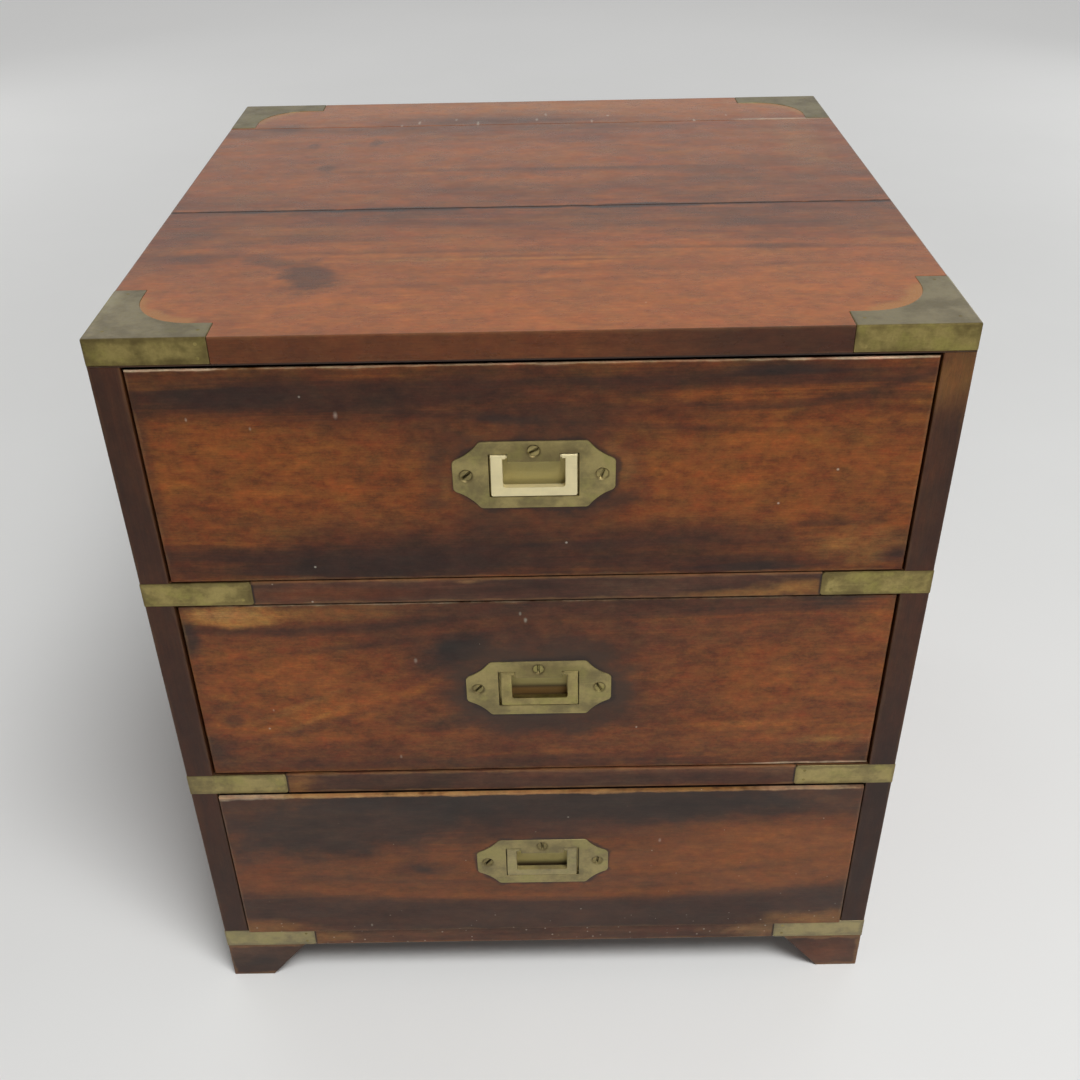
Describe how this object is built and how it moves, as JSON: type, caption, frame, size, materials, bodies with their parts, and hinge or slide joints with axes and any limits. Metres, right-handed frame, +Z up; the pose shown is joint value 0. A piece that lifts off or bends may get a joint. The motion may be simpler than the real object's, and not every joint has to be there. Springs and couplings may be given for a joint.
{
  "type": "campaign nightstand",
  "caption": "Low square wooden nightstand with sliding drawers, inlaid brass corners and straps, flush swinging brass handles and bracket feet.",
  "frame": {"origin": "on the floor, under the middle of the carcase", "axes": "+Z up, drawers open towards -Y, +X to the right of someone facing the drawers"},
  "size_m": [0.4574, 0.449, 0.5082],
  "materials": {
    "top_wood": "polished, aged",
    "carcase_wood": "polished, aged",
    "drawer_front_wood": "polished, aged",
    "foot_wood": "polished, worn",
    "inner_wood": "bare",
    "back_wood": "bare",
    "corner_brass": "aged, patinated",
    "plate_brass": "aged, patinated",
    "bail_brass": "rubbed",
    "screw_brass": "aged",
    "back_screws": "dull"
  },
  "bodies": {
    "carcase": {"back_boards": "back_wood", "back_screws": "back_screws", "bottom_board": "inner_wood", "bottom_left_strap": "corner_brass", "bottom_rail": "carcase_wood", "bottom_right_strap": "corner_brass", "drawer_stops": "inner_wood", "foot_glue_blocks": "inner_wood", "front_left_face_bracket": "foot_wood", "front_left_side_bracket": "foot_wood", "front_left_top_corner": "corner_brass", "front_right_face_bracket": "foot_wood", "front_right_side_bracket": "foot_wood", "front_right_top_corner": "corner_brass", "left_side": "carcase_wood", "lower_dust_board": "inner_wood", "lower_left_strap": "corner_brass", "lower_rail": "carcase_wood", "lower_right_strap": "corner_brass", "rear_left_face_bracket": "foot_wood", "rear_left_side_bracket": "foot_wood", "rear_left_top_corner": "corner_brass", "rear_right_face_bracket": "foot_wood", "rear_right_side_bracket": "foot_wood", "rear_right_top_corner": "corner_brass", "rear_straps": "corner_brass", "right_side": "carcase_wood", "strap_pins": "corner_brass", "top_front_board": "top_wood", "top_middle_board": "top_wood", "top_rear_board": "top_wood", "top_splines": "inner_wood", "upper_dust_board": "inner_wood", "upper_left_strap": "corner_brass", "upper_rail": "carcase_wood", "upper_right_strap": "corner_brass"},
    "lower_drawer": {"lower_drawer_back": "inner_wood", "lower_drawer_bottom": "inner_wood", "lower_drawer_front": "drawer_front_wood", "lower_drawer_left_side": "inner_wood", "lower_drawer_right_side": "inner_wood", "lower_handle_plate": "plate_brass", "lower_handle_screws": "screw_brass"},
    "lower_bail": {"lower_handle_bail": "bail_brass"},
    "middle_drawer": {"middle_drawer_back": "inner_wood", "middle_drawer_bottom": "inner_wood", "middle_drawer_front": "drawer_front_wood", "middle_drawer_left_side": "inner_wood", "middle_drawer_right_side": "inner_wood", "middle_handle_plate": "plate_brass", "middle_handle_screws": "screw_brass"},
    "middle_bail": {"middle_handle_bail": "bail_brass"},
    "upper_drawer": {"upper_drawer_back": "inner_wood", "upper_drawer_bottom": "inner_wood", "upper_drawer_front": "drawer_front_wood", "upper_drawer_left_side": "inner_wood", "upper_drawer_right_side": "inner_wood", "upper_handle_plate": "plate_brass", "upper_handle_screws": "screw_brass"},
    "upper_bail": {"upper_handle_bail": "bail_brass"}
  },
  "joints": [
    {"name": "lower_drawer_slide", "type": "slide", "parent": "carcase", "child": "lower_drawer", "axis": [0, -1, 0], "range_m": [0, 0.32]},
    {"name": "lower_bail_swing", "type": "hinge", "parent": "lower_drawer", "child": "lower_bail", "pos_m": [0, -0.2238, 0.1303], "axis": [-1, 0, 0], "range_deg": [0, 90]},
    {"name": "middle_drawer_slide", "type": "slide", "parent": "carcase", "child": "middle_drawer", "axis": [0, -1, 0], "range_m": [0, 0.32]},
    {"name": "middle_bail_swing", "type": "hinge", "parent": "middle_drawer", "child": "middle_bail", "pos_m": [0, -0.2198, 0.2815], "axis": [-1, 0, 0], "range_deg": [0, 90]},
    {"name": "upper_drawer_slide", "type": "slide", "parent": "carcase", "child": "upper_drawer", "axis": [0, -1, 0], "range_m": [0, 0.32]},
    {"name": "upper_bail_swing", "type": "hinge", "parent": "upper_drawer", "child": "upper_bail", "pos_m": [0, -0.2208, 0.4345], "axis": [-1, 0, 0], "range_deg": [0, 90]}
  ]
}
